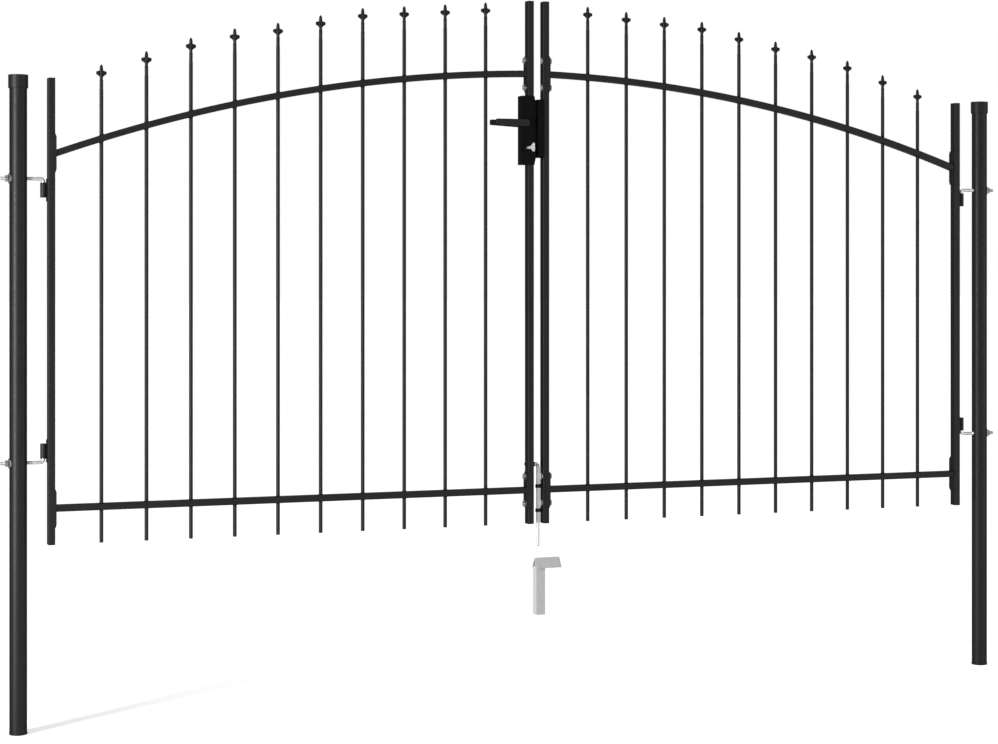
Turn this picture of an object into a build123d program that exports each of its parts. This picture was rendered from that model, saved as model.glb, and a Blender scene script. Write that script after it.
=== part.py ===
from build123d import *
import os
from math import hypot, sqrt

# Double-leaf driveway gate with an arched top, round pales with spear finials,
# hook-bolt hinges on two round posts, a lever lock and a drop bolt with its ground socket.
# Millimetres. The origin is the middle of the left post's foot, X runs along the gate
# to the right post, Y from the street side to the drive side, Z up.

# Posts
post_spacing = 2953
post_diameter = 46.4
post_wall = 2
post_top_z = 1744
post_joint_z = 943
post_joint_width = 1.2
post_joint_depth = 0.7
post_cap_diameter = 52.3
post_cap_height = 36
post_cap_thickness = 3
post_cap_rounding = 1.2
foot_plug_lip = 0.8
foot_plug_thickness = 6
foot_plug_spigot = 18
foot_plug_rounding = 1
push_fit = 0.3

# Stiles and their plugs
stile_width = 18.7
stile_depth = 28
stile_wall = 1.5
stile_bottom_z = 501
outer_stile_top_z = 1738
inner_stile_top_z = 1997
outer_stile_inset = 86.5
inner_stile_inset = 23.7
stile_plug_thickness = 3
stile_plug_spigot = 15
stile_plug_chamfer = 1

# Rails and pales
rail_height = 18
rail_depth = 28
bottom_rail_z = 595
top_rail_radius = 4296
top_rail_crown_z = 1791.8
top_rail_overrun = 69.9
pale_pitch = 122
pale_stile_gap = 90
pale_diameter = 10.6
pale_bottom_z = 498
spear_rise = 204.5
spear_rise_shares = (0.972, 0.984, 1.016, 1.016, 0.986, 0.999, 1.03, 1.004, 0.995, 1.004)

# Spear finials: heights along the finial as shares of its height, radii as shares of the pale's radius
finial_height = 66.5
finial_point_radius = 0.6
petal_span = 28.5
petal_thickness = 5
petal_end_radius = 4.3
petal_height_share = 0.653
petal_root_up_share = 0.1
petal_root_down_share = 0.2
socket_top_share = 0.32
neck_share = 0.43
socket_radius_share = 0.92
neck_radius_share = 0.83
blade_shares = ((0.72, 0.94), (0.82, 0.9), (0.925, 0.74), (0.97, 0.46))

# Rail brackets that saddle the stiles
bracket_height = 104
bracket_taper = 9
bracket_web = 3
bracket_flange = 2.5
bracket_reach = 13

# Hinges: hook bolts through the posts, barrels on plates welded to the outer stiles
hinge_bolt_diameter = 10
hinge_bolt_tail = 24
hinge_bend_radius = 9
hinge_shoulder_gap = 0.8
hinge_pin_recess = 2
hinge_running_fit = 0.3
upper_hinge_z = 1472
lower_hinge_z = 718
barrel_diameter = 17
barrel_length = 40
barrel_weld_depth = 0.6
hinge_plate_thickness = 3
hinge_plate_width = 16
hinge_plate_height = 61
bolt_hole_play = 0.4
saddle_thickness = 3
saddle_diameter = 27
saddle_seat_gap = 0.2
nut_across_flats = 17
nut_thickness = 8
nut_thread_gap = 0.1

# Lock on the left inner stile
lock_plate_width = 42
lock_plate_overhang = 3.5
lock_plate_height = 198
lock_plate_thickness = 3
lock_plate_rounding = 1
lock_plate_shoulder = 18
lock_bracket_gap = 11.5
lock_case_width = 19
lock_axis_inset = 10
lever_drop = 78.5
lock_centres = 72
lever_length = 92
lever_boss_radius = 10.5
lever_tip_height = 16
lever_tip_rounding = 4
lever_thickness = 8
lever_standoff = 5
lever_edge_rounding = 2
lever_neck_radius = 7
lever_neck_play = 0.8
spindle_side = 8
spindle_play = 1.2
cylinder_radius = 8.5
cylinder_proud = 4
cylinder_hole_play = 0.2
key_plug_radius = 6
key_plug_depth = 5
key_plug_play = 0.15
key_thickness = 2.4
key_shank_height = 7
key_length = 69
key_bow_height = 26
key_bow_length = 28
key_bow_rounding = 6
key_bow_hole_radius = 3

# Keeper on the right inner stile
keeper_drop = 10
keeper_height = 167
keeper_width = 46
keeper_thickness = 18
keeper_floor = 3
keeper_rounding = 8
keeper_slot_width = 12
keeper_slot_height = 34

# Drop bolt on the right inner stile, and its ground socket
drop_bolt_diameter = 10
drop_bolt_offset = 2.5
drop_bolt_bottom_z = 433
drop_bolt_handle_z = 668
drop_bolt_handle_reach = 93
drop_bolt_handle_fall = 7
drop_bolt_bend_radius = 10
grip_diameter = 12
grip_length = 82
grip_end = 2
grip_fit = 0.3
upper_guide_z = 605.4
lower_guide_z = 535.7
guide_height = 10
guide_eye_wall = 2.1
guide_running_fit = 0.4
guide_strap_width = 10
socket_stem_side = 28
socket_stem_wall = 2.5
socket_stem_bottom_z = 237.6
socket_ridge_z = 400.5
socket_roof_drop = 28.8
socket_roof_half_width = 20
socket_roof_thickness = 3
socket_roof_length = 77
socket_hole_play = 3
socket_ridge_margin = 0.5

# Overrun of every cut past the face that it goes through
cut_overrun = 5

# Places that follow from the sizes above
post_radius = post_diameter / 2
gate_middle_x = post_spacing / 2
outer_stile_x = outer_stile_inset
inner_stile_x = gate_middle_x - inner_stile_inset
leaf_width = inner_stile_x - outer_stile_x
panel_start_x = outer_stile_x + stile_width / 2
panel_end_x = inner_stile_x - stile_width / 2
gap_face_x = inner_stile_x + stile_width / 2
stile_face_y = stile_depth / 2
pale_gaps = int((leaf_width - 2 * pale_stile_gap) // pale_pitch)
first_pale_x = outer_stile_x + (leaf_width - pale_gaps * pale_pitch) / 2
pale_radius = pale_diameter / 2
hinge_bolt_radius = hinge_bolt_diameter / 2
barrel_radius = barrel_diameter / 2
hinge_x = panel_start_x - stile_width - hinge_plate_thickness - barrel_radius + barrel_weld_depth
saddle_face = post_radius + saddle_seat_gap + saddle_thickness
barrel_offset = hinge_bend_radius + hinge_shoulder_gap + barrel_length / 2
right_gap_face_x = post_spacing - gap_face_x
lock_axis_x = panel_end_x - lock_axis_inset
lock_plate_y = stile_face_y + lock_plate_thickness
drop_bolt_x = gate_middle_x + drop_bolt_offset
drop_bolt_radius = drop_bolt_diameter / 2
socket_hole_half = drop_bolt_radius + socket_hole_play
socket_forward = socket_hole_half + socket_ridge_margin
across_gate = Plane.YZ.offset(gate_middle_x)


def box_between(low_x, high_x, low_y, high_y, low_z, high_z):
    """A box given by its lowest and highest corners."""
    middle = Pos((low_x + high_x) / 2, (low_y + high_y) / 2, (low_z + high_z) / 2)
    return middle * Box(high_x - low_x, high_y - low_y, high_z - low_z)


def rod(start, end, radius):
    """A round bar between two points."""
    start, end = Vector(*start), Vector(*end)
    seat = Plane(origin=start, z_dir=end - start)
    return extrude(seat * Circle(radius), amount=(end - start).length)


def bent_rod(points, bend_radius, radius):
    """A round bar that follows a route with rounded corners."""
    route = FilletPolyline(*points, radius=bend_radius)
    seat = Plane(origin=points[0], z_dir=Vector(*points[1]) - Vector(*points[0]))
    return sweep(seat * Circle(radius), path=route)


def mirrored(shape):
    """The same piece on the other side of the gate's middle."""
    return mirror(shape, about=across_gate)


def group(pieces):
    """Like pieces that share a node."""
    return Compound(children=[solid for piece in pieces for solid in piece.solids()])


def top_rail_z(x):
    """Height of the top rail's middle line on the left leaf."""
    run = gate_middle_x - x + top_rail_overrun
    return top_rail_crown_z - top_rail_radius + sqrt(top_rail_radius ** 2 - run ** 2)


def post_tube():
    """A round tube with holes for the hook bolts and a fine groove where its two lengths meet."""
    tube = rod((0, 0, foot_plug_thickness), (0, 0, post_top_z), post_radius)
    tube -= rod((0, 0, 0), (0, 0, post_top_z + cut_overrun), post_radius - post_wall)
    for bolt_z in (upper_hinge_z, lower_hinge_z):
        reach = post_radius + cut_overrun
        tube -= rod((-reach, 0, bolt_z), (reach, 0, bolt_z), hinge_bolt_radius + bolt_hole_play)
    low, high = (0, 0, post_joint_z - post_joint_width / 2), (0, 0, post_joint_z + post_joint_width / 2)
    groove = rod(low, high, post_radius + cut_overrun) - rod(low, high, post_radius - post_joint_depth)
    return tube - groove


def post_cap():
    top_z = post_top_z + post_cap_thickness
    cap = rod((0, 0, top_z - post_cap_height), (0, 0, top_z), post_cap_diameter / 2)
    cap = fillet(cap.edges().group_by(Axis.Z)[-1], post_cap_rounding)
    bore_start = (0, 0, top_z - post_cap_height - cut_overrun)
    return cap - rod(bore_start, (0, 0, post_top_z), post_radius + push_fit)


def foot_plug():
    flange = rod((0, 0, 0), (0, 0, foot_plug_thickness), post_radius + foot_plug_lip)
    flange = fillet(flange.edges().group_by(Axis.Z)[0], foot_plug_rounding)
    spigot_top = (0, 0, foot_plug_thickness + foot_plug_spigot)
    return flange + rod((0, 0, foot_plug_thickness), spigot_top, post_radius - post_wall - push_fit)


def hinge_bolt(bolt_z, pin_way):
    """A hook bolt: through the post along X, then along Z into the barrel, up or down."""
    tail = (-post_radius - hinge_bolt_tail, 0, bolt_z)
    corner = (hinge_x, 0, bolt_z)
    pin_length = barrel_offset + barrel_length / 2 - hinge_pin_recess
    tip = (hinge_x, 0, bolt_z + pin_way * pin_length)
    return bent_rod((tail, corner, tip), hinge_bend_radius, hinge_bolt_radius)


def hinge_saddle(bolt_z):
    """A round washer curved to the post, which seats the nut on the post's outer side."""
    low, high = (0, 0, bolt_z - saddle_diameter), (0, 0, bolt_z + saddle_diameter)
    bolt_start, bolt_end = (0, 0, bolt_z), (-saddle_face - cut_overrun, 0, bolt_z)
    washer = rod(bolt_start, bolt_end, saddle_diameter / 2) & rod(low, high, saddle_face)
    washer -= rod(low, high, post_radius + saddle_seat_gap)
    return washer - rod(bolt_start, bolt_end, hinge_bolt_radius + bolt_hole_play)


def hinge_nut(bolt_z):
    """A hexagon nut on the bolt's tail, against its washer."""
    seat = Plane(origin=(-saddle_face, 0, bolt_z), z_dir=(-1, 0, 0))
    outline = RegularPolygon(nut_across_flats / 2, side_count=6, major_radius=False)
    outline -= Circle(hinge_bolt_radius + nut_thread_gap)
    return extrude(seat * outline, amount=nut_thickness)


def hinge_barrel(bolt_z, pin_way):
    """A barrel welded to a plate on the outer stile."""
    middle_z = bolt_z + pin_way * barrel_offset
    low_z, high_z = middle_z - barrel_length / 2, middle_z + barrel_length / 2
    stile_face_x = outer_stile_x - stile_width / 2
    plate = box_between(
        stile_face_x - hinge_plate_thickness, stile_face_x,
        -hinge_plate_width / 2, hinge_plate_width / 2,
        middle_z - hinge_plate_height / 2, middle_z + hinge_plate_height / 2,
    )
    barrel = plate + rod((hinge_x, 0, low_z), (hinge_x, 0, high_z), barrel_radius)
    bore = hinge_bolt_radius + hinge_running_fit
    return barrel - rod((hinge_x, 0, low_z - cut_overrun), (hinge_x, 0, high_z + cut_overrun), bore)


def stile(middle_x, top_z):
    half_x, half_y = stile_width / 2, stile_face_y
    tube = box_between(middle_x - half_x, middle_x + half_x, -half_y, half_y, stile_bottom_z, top_z)
    hollow_x, hollow_y = half_x - stile_wall, half_y - stile_wall
    return tube - box_between(
        middle_x - hollow_x, middle_x + hollow_x, -hollow_y, hollow_y,
        stile_bottom_z - cut_overrun, top_z + cut_overrun,
    )


def stile_plug(middle_x, end_z, way):
    """A plug with a bevelled flange over the tube's end; way is 1 at the top and -1 at the foot."""
    half_x, half_y = stile_width / 2, stile_face_y
    low_z, high_z = sorted((end_z, end_z + way * stile_plug_thickness))
    flange = box_between(middle_x - half_x, middle_x + half_x, -half_y, half_y, low_z, high_z)
    outer_edges = flange.edges().group_by(Axis.Z)[-1 if way > 0 else 0]
    flange = chamfer(outer_edges, stile_plug_chamfer)
    spigot_x, spigot_y = half_x - stile_wall - push_fit, half_y - stile_wall - push_fit
    low_z, high_z = sorted((end_z, end_z - way * stile_plug_spigot))
    return flange + box_between(
        middle_x - spigot_x, middle_x + spigot_x, -spigot_y, spigot_y, low_z, high_z
    )


def pale_places():
    """X and top Z of each pale, from the outer stile inwards."""
    places = []
    for number in range(pale_gaps + 1):
        pale_x = first_pale_x + number * pale_pitch
        rise_share = spear_rise_shares[number % len(spear_rise_shares)]
        places.append((pale_x, top_rail_z(pale_x) + spear_rise * rise_share - finial_height))
    return places


def panel():
    """Both rails of the left leaf with the pales that pass through them."""
    start_x, end_x = panel_start_x + bracket_web, panel_end_x - bracket_web
    half_y = rail_depth / 2
    low_z, high_z = bottom_rail_z - rail_height / 2, bottom_rail_z + rail_height / 2
    frame = box_between(start_x, end_x, -half_y, half_y, low_z, high_z)
    arc_middle = Pos(gate_middle_x + top_rail_overrun, top_rail_crown_z - top_rail_radius)
    ring = Circle(top_rail_radius + rail_height / 2) - Circle(top_rail_radius - rail_height / 2)
    window_height = top_rail_crown_z + rail_height - bottom_rail_z
    window_middle = Pos((start_x + end_x) / 2, bottom_rail_z + window_height / 2)
    arch = (arc_middle * ring) & (window_middle * Rectangle(end_x - start_x, window_height))
    frame += extrude(Plane.XZ * arch, amount=half_y, both=True)
    for pale_x, top_z in pale_places():
        frame += rod((pale_x, 0, pale_bottom_z), (pale_x, 0, top_z), pale_radius)
    return frame


def petal_pair():
    """Two opposite petals of a finial, as a slice through its middle."""
    middle_z = finial_height * petal_height_share
    top_z = middle_z + finial_height * petal_root_up_share
    bottom_z = middle_z - finial_height * petal_root_down_share
    end_x = petal_span / 2 - petal_end_radius
    right_arc = ThreePointArc(
        (end_x, middle_z + petal_end_radius), (petal_span / 2, middle_z), (end_x, middle_z - petal_end_radius)
    )
    left_arc = ThreePointArc(
        (-end_x, middle_z - petal_end_radius), (-petal_span / 2, middle_z), (-end_x, middle_z + petal_end_radius)
    )
    outline = Curve() + [
        Line((0, top_z), right_arc @ 0), right_arc, Line(right_arc @ 1, (0, bottom_z)),
        Line((0, bottom_z), left_arc @ 0), left_arc, Line(left_arc @ 1, (0, top_z)),
    ]
    return extrude(Plane.XZ * make_face(outline), amount=petal_thickness / 2, both=True)


def finial():
    """A cast spear point with four petals, standing on its socket."""
    socket_radius = pale_radius * socket_radius_share
    socket_z, neck_z = finial_height * socket_top_share, finial_height * neck_share
    neck_radius = pale_radius * neck_radius_share
    blade = [(pale_radius * wide, finial_height * high) for high, wide in blade_shares]
    outline = Polyline(
        (0, 0), (socket_radius, 0), (socket_radius, socket_z), (neck_radius, neck_z),
        *blade, (finial_point_radius, finial_height), (0, finial_height), close=True,
    )
    core = revolve(Plane.XZ * make_face(outline), axis=Axis.Z)
    petals = petal_pair()
    return core + petals + Rot(0, 0, 90) * petals


def finials():
    spear = finial()
    return group([Pos(pale_x, 0, top_z) * spear for pale_x, top_z in pale_places()])


def rail_bracket(middle_x, rail_z, way):
    """A saddle over the stile's panel side; way is 1 when the panel lies towards +X."""
    face_x = stile_width / 2
    half, tapered_half = bracket_height / 2, bracket_height / 2 - bracket_taper
    back_x = face_x - bracket_reach
    front_x = face_x + bracket_web
    outline = Polyline(
        (back_x, -half), (face_x, -half), (front_x, -tapered_half),
        (front_x, tapered_half), (face_x, half), (back_x, half), close=True,
    )
    saddle = extrude(Plane.XZ * make_face(outline), amount=stile_face_y + bracket_flange, both=True)
    saddle -= box_between(-face_x, face_x, -stile_face_y, stile_face_y, -bracket_height, bracket_height)
    if way < 0:
        saddle = mirror(saddle, about=Plane.YZ)
    return Pos(middle_x, 0, rail_z) * saddle


def brackets(middle_x, way):
    rail_end_x = middle_x + way * (stile_width / 2 + bracket_web)
    heights = (top_rail_z(rail_end_x), bottom_rail_z)
    return group([rail_bracket(middle_x, rail_z, way) for rail_z in heights])


def cut_across(shape, axis_z, radius):
    """Cut a round way along Y through a piece of the lock."""
    reach = lock_plate_y + cut_overrun
    return shape - rod((lock_axis_x, -reach, axis_z), (lock_axis_x, reach, axis_z), radius)


spindle_way = spindle_side / sqrt(2) + spindle_play
neck_way = lever_neck_radius + lever_neck_play
cylinder_way = cylinder_radius + cylinder_hole_play
cylinder_face_y = lock_plate_y + cylinder_proud
lock_top_z = top_rail_z(panel_end_x - bracket_web) - bracket_height / 2 - lock_bracket_gap
lock_bottom_z = lock_top_z - lock_plate_height
lever_axis_z = lock_top_z - lever_drop
cylinder_axis_z = lever_axis_z - lock_centres


def lock_case():
    """A case as deep as the stile, on its panel side, with the spindle's way through it."""
    case = box_between(
        panel_end_x - lock_case_width, panel_end_x, -stile_face_y, stile_face_y,
        lock_bottom_z, lock_top_z,
    )
    return cut_across(case, lever_axis_z, spindle_way)


def lock_plate(side):
    """A long plate on one face of the stile, past which it bulges between two shoulders.

    side is -1 at the street and 1 at the drive.
    """
    bulge_x = gap_face_x + lock_plate_overhang
    edge_x = bulge_x - lock_plate_width
    outline = make_face(Polyline(
        (edge_x, lock_bottom_z), (gap_face_x, lock_bottom_z), (bulge_x, lock_bottom_z + lock_plate_shoulder),
        (bulge_x, lock_top_z - lock_plate_shoulder), (gap_face_x, lock_top_z), (edge_x, lock_top_z), close=True,
    ))
    outline = fillet(outline.vertices(), lock_plate_rounding)
    plate = extrude(Plane.XZ.offset(stile_face_y) * outline, amount=lock_plate_thickness)
    plate = cut_across(plate, lever_axis_z, neck_way)
    plate = cut_across(plate, cylinder_axis_z, cylinder_way)
    return plate if side < 0 else mirror(plate, about=Plane.XZ)


def lever(side):
    """A lever on its neck; the top edge is level and the lower edge rises towards the tip."""
    corner_x = lever_tip_rounding - lever_length
    upper_z = lever_boss_radius - lever_tip_rounding
    lower_z = lever_boss_radius - lever_tip_height + lever_tip_rounding
    boss = Circle(lever_boss_radius)
    corners = [Pos(corner_x, corner_z) * Circle(lever_tip_rounding) for corner_z in (lower_z, upper_z)]
    outline = make_hull((boss + corners[0] + corners[1]).edges())
    seat_y = lock_plate_y + lever_standoff
    arm = extrude(Plane.XZ.offset(seat_y) * outline, amount=lever_thickness)
    front_edges = arm.edges().group_by(Axis.Y)[0]
    arm = fillet(front_edges, lever_edge_rounding)
    arm += rod((0, -stile_face_y, 0), (0, -seat_y, 0), lever_neck_radius)
    arm = Pos(lock_axis_x, 0, lever_axis_z) * arm
    return arm if side < 0 else mirror(arm, about=Plane.XZ)


def lever_spindle():
    half = spindle_side / 2
    return box_between(
        lock_axis_x - half, lock_axis_x + half, -stile_face_y, stile_face_y,
        lever_axis_z - half, lever_axis_z + half,
    )


def lock_cylinder():
    """The two ends of the key cylinder, with a seat for the turning plug at the street side."""
    seat, face = stile_face_y, cylinder_face_y
    end = rod((lock_axis_x, seat, cylinder_axis_z), (lock_axis_x, face, cylinder_axis_z), cylinder_radius)
    plug_end = (lock_axis_x, key_plug_depth + key_plug_play - face, cylinder_axis_z)
    plug_start = (lock_axis_x, -face - cut_overrun, cylinder_axis_z)
    plug_seat = rod(plug_start, plug_end, key_plug_radius + key_plug_play)
    return group([mirror(end, about=Plane.XZ) - plug_seat, end])


def key_plug():
    seat = (lock_axis_x, key_plug_depth - cylinder_face_y, cylinder_axis_z)
    return rod(seat, (lock_axis_x, -cylinder_face_y, cylinder_axis_z), key_plug_radius)


def key():
    """A flat key, upright in its plug, with a bow that widens to its outer end."""
    half_z, corner_z = key_shank_height / 2, key_bow_height / 2 - key_bow_rounding
    end_y = key_length - key_bow_rounding
    bow_y = key_length - key_bow_length
    neck = Pos(bow_y, 0) * Circle(half_z)
    corners = [Pos(end_y, side * corner_z) * Circle(key_bow_rounding) for side in (-1, 1)]
    bow = make_hull((neck + corners[0] + corners[1]).edges())
    outline = bow + Pos(bow_y / 2, 0) * Rectangle(bow_y, key_shank_height)
    outline -= Pos(end_y, 0) * Circle(key_bow_hole_radius)
    seat = Plane(
        origin=(lock_axis_x, -cylinder_face_y, cylinder_axis_z), x_dir=(0, -1, 0), z_dir=(1, 0, 0)
    )
    return extrude(seat * outline, amount=key_thickness / 2, both=True)


def keeper():
    """The box that takes the latch and the bolt, on the right stile's gap face."""
    middle_z = lock_top_z - keeper_drop - keeper_height / 2
    seat = Plane(origin=(right_gap_face_x, 0, middle_z), x_dir=(0, 1, 0), z_dir=(-1, 0, 0))
    box = extrude(
        seat * RectangleRounded(keeper_width, keeper_height, keeper_rounding), amount=keeper_thickness
    )
    pockets = [
        Pos(0, middle_z - axis_z) * Rectangle(keeper_slot_width, keeper_slot_height)
        for axis_z in (lever_axis_z, cylinder_axis_z)
    ]
    for pocket in pockets:
        box -= extrude(seat.offset(keeper_floor) * pocket, amount=keeper_thickness)
    return box


def drop_bolt_guide(middle_z):
    """An eye round the rod on a strap from the right stile."""
    low_z, high_z = middle_z - guide_height / 2, middle_z + guide_height / 2
    eye_radius = drop_bolt_radius + guide_running_fit + guide_eye_wall
    half_y = guide_strap_width / 2
    guide = box_between(drop_bolt_x, right_gap_face_x, -half_y, half_y, low_z, high_z)
    guide += rod((drop_bolt_x, 0, low_z), (drop_bolt_x, 0, high_z), eye_radius)
    way = drop_bolt_radius + guide_running_fit
    return guide - rod((drop_bolt_x, 0, low_z - cut_overrun), (drop_bolt_x, 0, high_z + cut_overrun), way)


drop_bolt_route = (
    (drop_bolt_x, 0, drop_bolt_bottom_z),
    (drop_bolt_x, 0, drop_bolt_handle_z),
    (drop_bolt_x, drop_bolt_handle_reach, drop_bolt_handle_z - drop_bolt_handle_fall),
)


def drop_bolt_rod():
    return bent_rod(drop_bolt_route, drop_bolt_bend_radius, drop_bolt_radius)


def drop_bolt_grip():
    """A sleeve with a closed end over the handle."""
    corner, tip = Vector(*drop_bolt_route[1]), Vector(*drop_bolt_route[2])
    way = (tip - corner).normalized()
    end = tip + way * grip_end
    sleeve = rod(tuple(end - way * grip_length), tuple(end), grip_diameter / 2)
    return sleeve - rod(tuple(corner), tuple(tip), drop_bolt_radius + grip_fit)


def roof_slice(peak_z, half_width, drop, top_z):
    """The part of an upright slice across the socket that lies above a ridge, up to a height."""
    eave_z = peak_z - drop
    return make_face(Polyline(
        (0, peak_z), (half_width, eave_z), (half_width, top_z), (-half_width, top_z), (-half_width, eave_z),
        close=True,
    ))


socket_roof_slant = hypot(socket_roof_half_width, socket_roof_drop) / socket_roof_half_width
socket_under_ridge_z = socket_ridge_z - socket_roof_thickness * socket_roof_slant


def socket_roof():
    """A plate folded to a ridge over the stem, with the rod's square hole in its slope on the drive side."""
    half, eave_z = socket_roof_half_width, socket_ridge_z - socket_roof_drop
    inner_half = half * (socket_under_ridge_z - eave_z) / socket_roof_drop
    outline = Polyline(
        (0, socket_ridge_z), (half, eave_z), (inner_half, eave_z), (0, socket_under_ridge_z),
        (-inner_half, eave_z), (-half, eave_z), close=True,
    )
    start = Plane.YZ.offset(drop_bolt_x - socket_stem_side / 2)
    roof = Pos(0, -socket_forward, 0) * extrude(start * make_face(outline), amount=socket_roof_length)
    return roof - box_between(
        drop_bolt_x - socket_hole_half, drop_bolt_x + socket_hole_half, -socket_hole_half, socket_hole_half,
        eave_z, socket_ridge_z,
    )


def socket_stem():
    """A square tube cut to the roof's underside."""
    half, hollow = socket_stem_side / 2, socket_stem_side / 2 - socket_stem_wall
    low_z, high_z = socket_stem_bottom_z, socket_ridge_z
    stem = box_between(drop_bolt_x - half, drop_bolt_x + half, -half, half, low_z, high_z)
    stem -= box_between(
        drop_bolt_x - hollow, drop_bolt_x + hollow, -hollow, hollow,
        low_z - cut_overrun, high_z + cut_overrun,
    )
    above = roof_slice(
        socket_under_ridge_z, socket_roof_half_width, socket_roof_drop, socket_ridge_z + cut_overrun
    )
    stem -= extrude(Plane.YZ.offset(drop_bolt_x) * above, amount=socket_stem_side, both=True)
    return Pos(0, -socket_forward, 0) * stem


def left_and_right(name, shape):
    return {f"left_{name}": shape, f"right_{name}": mirrored(shape)}


def all_nodes():
    nodes = {}
    nodes |= left_and_right("post", post_tube())
    nodes |= left_and_right("post_cap", post_cap())
    nodes |= left_and_right("post_foot_plug", foot_plug())
    nodes |= left_and_right("upper_hinge_bolt", hinge_bolt(upper_hinge_z, -1))
    nodes |= left_and_right("lower_hinge_bolt", hinge_bolt(lower_hinge_z, 1))
    bolt_heights = (upper_hinge_z, lower_hinge_z)
    nodes |= left_and_right("hinge_saddles", group([hinge_saddle(bolt_z) for bolt_z in bolt_heights]))
    nodes |= left_and_right("hinge_nuts", group([hinge_nut(bolt_z) for bolt_z in bolt_heights]))
    barrels = group([hinge_barrel(upper_hinge_z, -1), hinge_barrel(lower_hinge_z, 1)])
    nodes |= left_and_right("hinge_barrels", barrels)
    nodes |= left_and_right("outer_stile", stile(outer_stile_x, outer_stile_top_z))
    nodes |= left_and_right("inner_stile", stile(inner_stile_x, inner_stile_top_z))
    ends = (
        (outer_stile_x, outer_stile_top_z, 1), (outer_stile_x, stile_bottom_z, -1),
        (inner_stile_x, inner_stile_top_z, 1), (inner_stile_x, stile_bottom_z, -1),
    )
    nodes |= left_and_right("stile_plugs", group([stile_plug(*end) for end in ends]))
    nodes |= left_and_right("panel", panel())
    nodes |= left_and_right("finials", finials())
    nodes |= left_and_right("outer_brackets", brackets(outer_stile_x, 1))
    nodes |= left_and_right("inner_brackets", brackets(inner_stile_x, -1))
    nodes["lock_case"] = lock_case()
    nodes["lock_front_plate"] = lock_plate(-1)
    nodes["lock_back_plate"] = lock_plate(1)
    nodes["lock_cylinder"] = lock_cylinder()
    nodes["lever_front"] = lever(-1)
    nodes["lever_back"] = lever(1)
    nodes["lever_spindle"] = lever_spindle()
    nodes["key_plug"] = key_plug()
    nodes["key"] = key()
    nodes["keeper"] = keeper()
    nodes["drop_bolt_guides"] = group([drop_bolt_guide(upper_guide_z), drop_bolt_guide(lower_guide_z)])
    nodes["drop_bolt_rod"] = drop_bolt_rod()
    nodes["drop_bolt_grip"] = drop_bolt_grip()
    nodes["ground_socket_roof"] = socket_roof()
    nodes["ground_socket_stem"] = socket_stem()
    return nodes


os.makedirs("parts", exist_ok=True)
for name, shape in all_nodes().items():
    export_step(shape, f"parts/{name}.step")
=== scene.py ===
"""Arched double driveway gate: the finish and the fine shapes of its pieces, around its fixed frame."""

from math import atan2, cos, pi, radians, sin, sqrt, tan

import bmesh
import bpy
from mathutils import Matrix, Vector


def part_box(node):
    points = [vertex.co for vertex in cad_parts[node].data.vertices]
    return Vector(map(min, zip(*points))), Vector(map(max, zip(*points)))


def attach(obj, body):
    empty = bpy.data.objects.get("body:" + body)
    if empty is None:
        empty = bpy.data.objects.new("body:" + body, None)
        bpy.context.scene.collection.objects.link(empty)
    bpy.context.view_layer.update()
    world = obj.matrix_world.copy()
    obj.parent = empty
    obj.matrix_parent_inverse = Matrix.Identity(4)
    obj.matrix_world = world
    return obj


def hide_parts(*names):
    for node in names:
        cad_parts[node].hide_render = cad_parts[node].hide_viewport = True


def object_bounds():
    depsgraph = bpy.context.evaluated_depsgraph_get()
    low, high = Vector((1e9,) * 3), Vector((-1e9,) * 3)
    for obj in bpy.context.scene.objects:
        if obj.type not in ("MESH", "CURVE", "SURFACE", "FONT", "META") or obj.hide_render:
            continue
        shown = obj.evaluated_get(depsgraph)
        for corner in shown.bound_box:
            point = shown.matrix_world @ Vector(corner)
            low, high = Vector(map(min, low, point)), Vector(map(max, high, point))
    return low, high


bl_info = {
    "name": "Arched Driveway Gate",
    "version": (1, 0, 0),
    "blender": (4, 5, 0),
    "location": "3D View > Sidebar > Gate",
    "description": "Finishes and fine shapes for an arched double driveway gate",
    "category": "Object",
}

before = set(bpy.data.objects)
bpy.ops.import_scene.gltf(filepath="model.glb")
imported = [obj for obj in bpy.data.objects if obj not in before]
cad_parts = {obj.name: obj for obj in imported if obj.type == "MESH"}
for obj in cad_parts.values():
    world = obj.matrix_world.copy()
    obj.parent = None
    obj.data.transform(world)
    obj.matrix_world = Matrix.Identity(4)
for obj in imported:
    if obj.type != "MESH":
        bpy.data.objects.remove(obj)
cad_box = [list(corner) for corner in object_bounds()]

ACROSS, BACK, UP = Vector((1, 0, 0)), Vector((0, 1, 0)), Vector((0, 0, 1))
SIDES = ("left", "right")


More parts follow.
